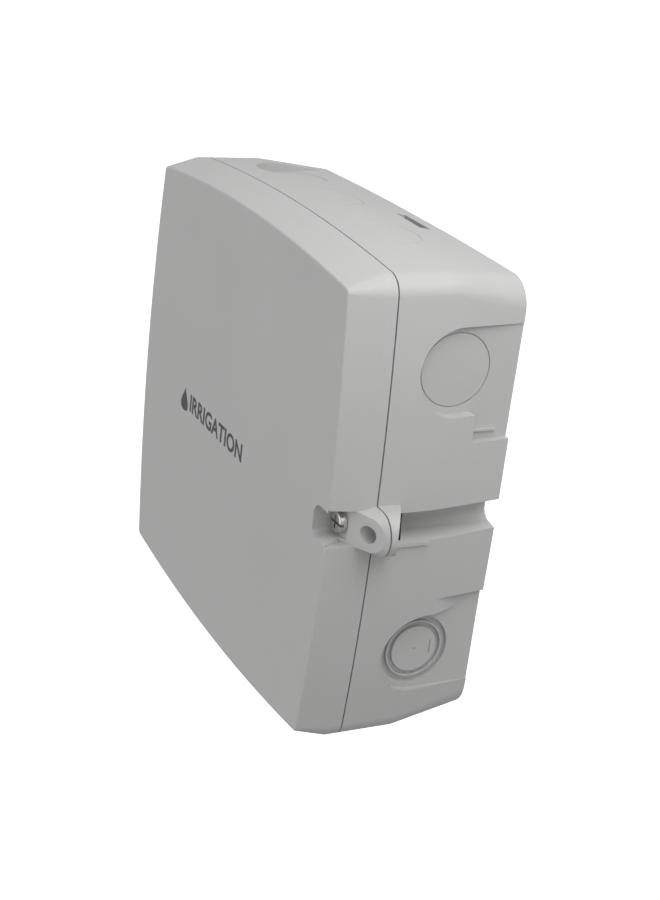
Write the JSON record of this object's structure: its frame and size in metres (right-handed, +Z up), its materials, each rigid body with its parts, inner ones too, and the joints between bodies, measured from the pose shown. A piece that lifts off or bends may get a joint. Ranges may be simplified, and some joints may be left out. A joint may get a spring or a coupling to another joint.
{
  "type": "irrigation controller",
  "caption": "Wall-hung irrigation controller in a hinged-door outdoor case with a padlock hasp, conduit knock-outs, a control panel, valve terminals and a transformer.",
  "frame": {"origin": "centre of the case's back face, on the wall", "axes": "+Z up, +X to the right seen from the front, +Y into the wall; the door faces -Y"},
  "size_m": [0.2596, 0.0885, 0.2348],
  "materials": {
    "case_plastic": "satin light grey moulded polycarbonate, UV stabilised",
    "door_plastic": "satin light grey moulded polycarbonate, UV stabilised",
    "seal_rubber": "black closed-cell EPDM foam",
    "bright_steel": "nickel plated steel",
    "brass": "turned brass",
    "paper": "laminated printed card",
    "panel_plastic": "dark grey moulded ABS, fine spark-eroded grain",
    "panel_print": "screen printed polycarbonate overlay",
    "clear_plastic": "clear polycarbonate",
    "frame_plastic": "black moulded frame",
    "display_glass": "liquid crystal glass on a grey-green reflector",
    "key_rubber": "green moulded key caps",
    "switch_black": "black moulded switch bodies",
    "dial_plastic": "black moulded dial with a white line",
    "slider_plastic": "red moulded slider knobs",
    "board_green": "glass-epoxy board with green solder mask",
    "chip_black": "moulded epoxy packages",
    "can_blue": "sleeved aluminium cans",
    "battery_skin": "printed metal jacket",
    "strip_green": "green moulded terminal strip",
    "fuse_glass": "glass tube",
    "core_steel": "stacked silicon steel, varnished",
    "bobbin_nylon": "white nylon",
    "coil_tape": "yellow polyester tape over copper wire",
    "ground_green": "green passivated screw",
    "wire_red": "PVC insulated leads",
    "ribbon_grey": "flat PVC ribbon",
    "cover_grey": "grey flame-retardant plastic"
  },
  "bodies": {
    "case": {"back_case": "case_plastic", "screw_insert": "brass", "hinge_pins": "bright_steel", "control_panel": "panel_plastic", "battery": "battery_skin", "battery_snap": "switch_black", "panel_screws": "bright_steel", "panel_label": "panel_print", "display_lens": "clear_plastic", "display_frame": "frame_plastic", "display_glass": "display_glass", "key_switches": "switch_black", "rotary_switch": "switch_black", "rotary_nut": "bright_steel", "slide_switches": "switch_black", "circuit_board": "board_green", "board_screws": "bright_steel", "controller_chips": "chip_black", "capacitors": "can_blue", "board_header": "chip_black", "terminal_board": "board_green", "terminal_board_screws": "bright_steel", "terminal_strip": "strip_green", "terminal_clamps": "bright_steel", "terminal_screws": "bright_steel", "triacs": "chip_black", "fuse_tube": "fuse_glass", "fuse_caps": "bright_steel", "fuse_clips": "brass", "strip_header": "chip_black", "transformer_core": "core_steel", "transformer_bobbin": "bobbin_nylon", "transformer_coil": "coil_tape", "transformer_frame": "bright_steel", "transformer_screws": "bright_steel", "line_cover": "cover_grey", "line_cover_screws": "bright_steel", "ground_lug": "brass", "ground_screw": "ground_green", "transformer_leads": "wire_red", "battery_leads": "wire_red", "ribbon_cable": "ribbon_grey"},
    "door": {"front_door": "door_plastic", "door_gasket": "seal_rubber", "schedule_card": "paper"},
    "screw_ring": {"screw_retainer": "bright_steel"},
    "door_screw": {"door_screw": "bright_steel"},
    "dial": {"program_dial": "dial_plastic", "dial_shaft": "bright_steel"},
    "program_slider": {"program_slider": "slider_plastic"},
    "mode_slider": {"mode_slider": "slider_plastic"},
    "battery_cover": {"battery_cover": "panel_plastic"},
    "key_minus": {"key_minus": "key_rubber"},
    "key_plus": {"key_plus": "key_rubber"},
    "key_next": {"key_next": "key_rubber"},
    "key_manual": {"key_manual": "key_rubber"},
    "key_program": {"key_program": "key_rubber"},
    "key_cancel": {"key_cancel": "key_rubber"}
  },
  "joints": [
    {"name": "door_hinge", "type": "hinge", "parent": "case", "child": "door", "pos_m": [-0.12145, -0.06625, 0], "axis": [0, 0, -1], "range_deg": [0, 120]},
    {"name": "door_screw_travel", "type": "slide", "parent": "door", "child": "screw_ring", "axis": [0, -1, 0], "range_m": [0, 0.006]},
    {"name": "door_screw_turn", "type": "hinge", "parent": "screw_ring", "child": "door_screw", "pos_m": [0.10875, -0.078, 0], "axis": [0, -1, 0], "range_deg": [0, 3086]},
    {"name": "dial_turn", "type": "hinge", "parent": "case", "child": "dial", "pos_m": [0.044, -0.06, 0.05], "axis": [0, -1, 0], "continuous": true},
    {"name": "program_slider_travel", "type": "slide", "parent": "case", "child": "program_slider", "axis": [1, 0, 0], "range_m": [-0.005, 0.005]},
    {"name": "mode_slider_travel", "type": "slide", "parent": "case", "child": "mode_slider", "axis": [1, 0, 0], "range_m": [-0.004, 0.004]},
    {"name": "battery_cover_travel", "type": "slide", "parent": "case", "child": "battery_cover", "axis": [0, 0, -1], "range_m": [0, 0.036]},
    {"name": "key_minus_press", "type": "slide", "parent": "case", "child": "key_minus", "axis": [0, 1, 0], "range_m": [0, 0.0008], "stiffness_N_per_m": 200, "springref_m": -0.0005},
    {"name": "key_plus_press", "type": "slide", "parent": "case", "child": "key_plus", "axis": [0, 1, 0], "range_m": [0, 0.0008], "stiffness_N_per_m": 200, "springref_m": -0.0005},
    {"name": "key_next_press", "type": "slide", "parent": "case", "child": "key_next", "axis": [0, 1, 0], "range_m": [0, 0.0008], "stiffness_N_per_m": 200, "springref_m": -0.0005},
    {"name": "key_manual_press", "type": "slide", "parent": "case", "child": "key_manual", "axis": [0, 1, 0], "range_m": [0, 0.0008], "stiffness_N_per_m": 200, "springref_m": -0.0005},
    {"name": "key_program_press", "type": "slide", "parent": "case", "child": "key_program", "axis": [0, 1, 0], "range_m": [0, 0.0008], "stiffness_N_per_m": 200, "springref_m": -0.0005},
    {"name": "key_cancel_press", "type": "slide", "parent": "case", "child": "key_cancel", "axis": [0, 1, 0], "range_m": [0, 0.0008], "stiffness_N_per_m": 200, "springref_m": -0.0005}
  ],
  "couplings": [
    {"joint": "door_screw_turn", "follows": "door_screw_travel", "rad_per_m": 8976}
  ]
}
